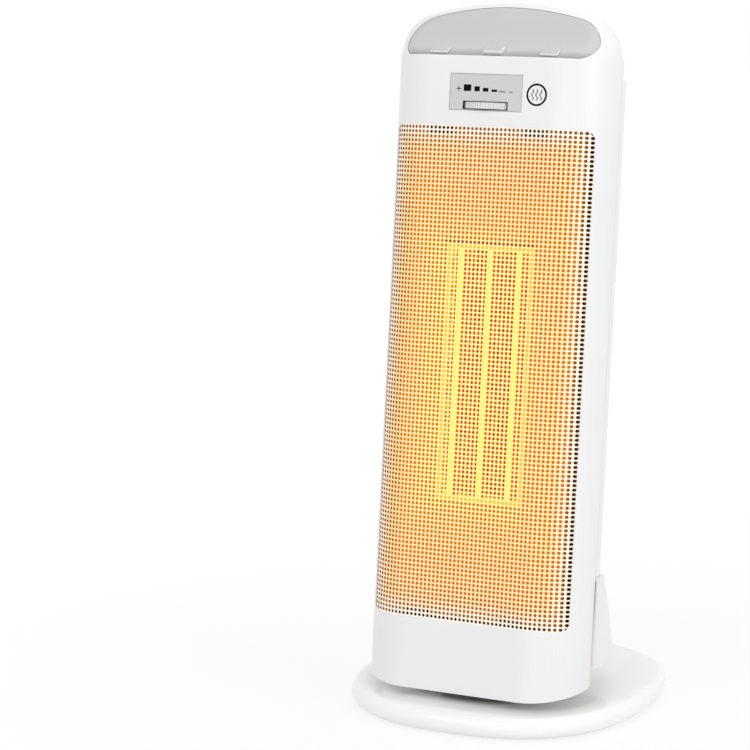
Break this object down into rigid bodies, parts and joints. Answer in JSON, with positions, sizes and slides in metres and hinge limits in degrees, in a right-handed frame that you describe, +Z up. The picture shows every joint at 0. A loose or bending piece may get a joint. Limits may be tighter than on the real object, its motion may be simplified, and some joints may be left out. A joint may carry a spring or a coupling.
{
  "type": "ceramic tower heater",
  "caption": "Slim leaning tower fan heater with a perforated front, sloping key panel and thumb-wheel thermostat, swinging on a flat round base.",
  "frame": {"origin": "centre of the base on the floor, on the swing axis", "axes": "+Z up, -Y towards the front grille at rest, +X to the heater's left-hand side as it faces the room's reader: the right in a front view"},
  "size_m": [0.241, 0.25, 0.556],
  "materials": {
    "white_abs": "moulded, satin to gloss",
    "grille_heat_resistant": "moulded, fine satin",
    "grey_abs": "moulded, satin",
    "silver_grey_abs": "moulded, ribbed",
    "acetal": "moulded",
    "zinc_steel": "zinc-plated sheet",
    "steel_screw": "zinc-plated",
    "rubber": "moulded",
    "core_nylon": "glass-filled, moulded",
    "glowing_bars": "ceramic strips between aluminium sheets, hot",
    "core_aluminium": "folded strip",
    "black_phenolic": "moulded",
    "ceramic_white": "fired or moulded",
    "dark_pp": "moulded",
    "bronze": "sintered",
    "cord_pvc": "extruded"
  },
  "bodies": {
    "base": {"base_cover": "white_abs", "base_plate": "zinc_steel", "rubber_feet": "rubber", "base_screws": "steel_screw", "pivot_post": "acetal", "post_screws": "steel_screw", "glide_ring": "acetal", "swing_arm": "acetal", "arm_screws": "steel_screw"},
    "tower": {"turntable_neck": "white_abs", "neck_screws": "steel_screw", "chassis_plate": "acetal", "swing_motor": "zinc_steel", "front_shell": "white_abs", "outlet_grille": "grille_heat_resistant", "core_bracket": "zinc_steel", "core_frame": "core_nylon", "ceramic_bars": "glowing_bars", "core_fins": "core_aluminium", "core_terminals": "core_aluminium", "thermal_cutout": "black_phenolic", "thermal_fuse": "ceramic_white", "air_duct": "dark_pp", "duct_top_plate": "zinc_steel", "duct_bottom_plate": "zinc_steel", "top_bearing": "bronze", "fan_motor": "zinc_steel", "rear_shell": "white_abs", "inlet_grille": "white_abs", "lower_rear_cover": "white_abs", "shell_screws": "steel_screw", "cord_gland": "cord_pvc", "terminal_block": "ceramic_white", "wiring_loom": "cord_pvc", "tilt_switch": "black_phenolic", "control_panel": "grey_abs", "switch_bank": "black_phenolic", "scale_plate": "grey_abs", "thermostat": "ceramic_white"},
    "swing_crank": {"swing_crank": "acetal"},
    "fan": {"fan_wheel": "dark_pp", "fan_shaft": "steel_screw"},
    "thermostat_wheel": {"thermostat_wheel": "silver_grey_abs"},
    "key_left": {"key_left": "grey_abs"},
    "key_middle": {"key_middle": "grey_abs"},
    "key_right": {"key_right": "grey_abs"}
  },
  "joints": [
    {"name": "swing", "type": "hinge", "parent": "base", "child": "tower", "pos_m": [0, 0, 0.022], "axis": [0, 0, 1], "range_deg": [-30, 30]},
    {"name": "crank_turn", "type": "hinge", "parent": "tower", "child": "swing_crank", "pos_m": [0, 0.025, 0.034], "axis": [0, 0, 1], "continuous": true},
    {"name": "fan_spin", "type": "hinge", "parent": "tower", "child": "fan", "pos_m": [0, -0.00397, 0.26538], "axis": [0, 0.1219, 0.9925], "continuous": true},
    {"name": "thermostat_turn", "type": "hinge", "parent": "tower", "child": "thermostat_wheel", "pos_m": [-0.0021, -0.01279, 0.47673], "axis": [0, 0.1219, 0.9925], "range_deg": [-135, 135]},
    {"name": "key_left_press", "type": "slide", "parent": "tower", "child": "key_left", "axis": [0, -0.6989, 0.7152], "range_m": [-0.001, 0.0017], "stiffness_N_per_m": 260},
    {"name": "key_middle_press", "type": "slide", "parent": "tower", "child": "key_middle", "axis": [0, -0.6989, 0.7152], "range_m": [-0.0027, 0], "stiffness_N_per_m": 260},
    {"name": "key_right_press", "type": "slide", "parent": "tower", "child": "key_right", "axis": [0, -0.6989, 0.7152], "range_m": [-0.001, 0.0017], "stiffness_N_per_m": 260}
  ]
}
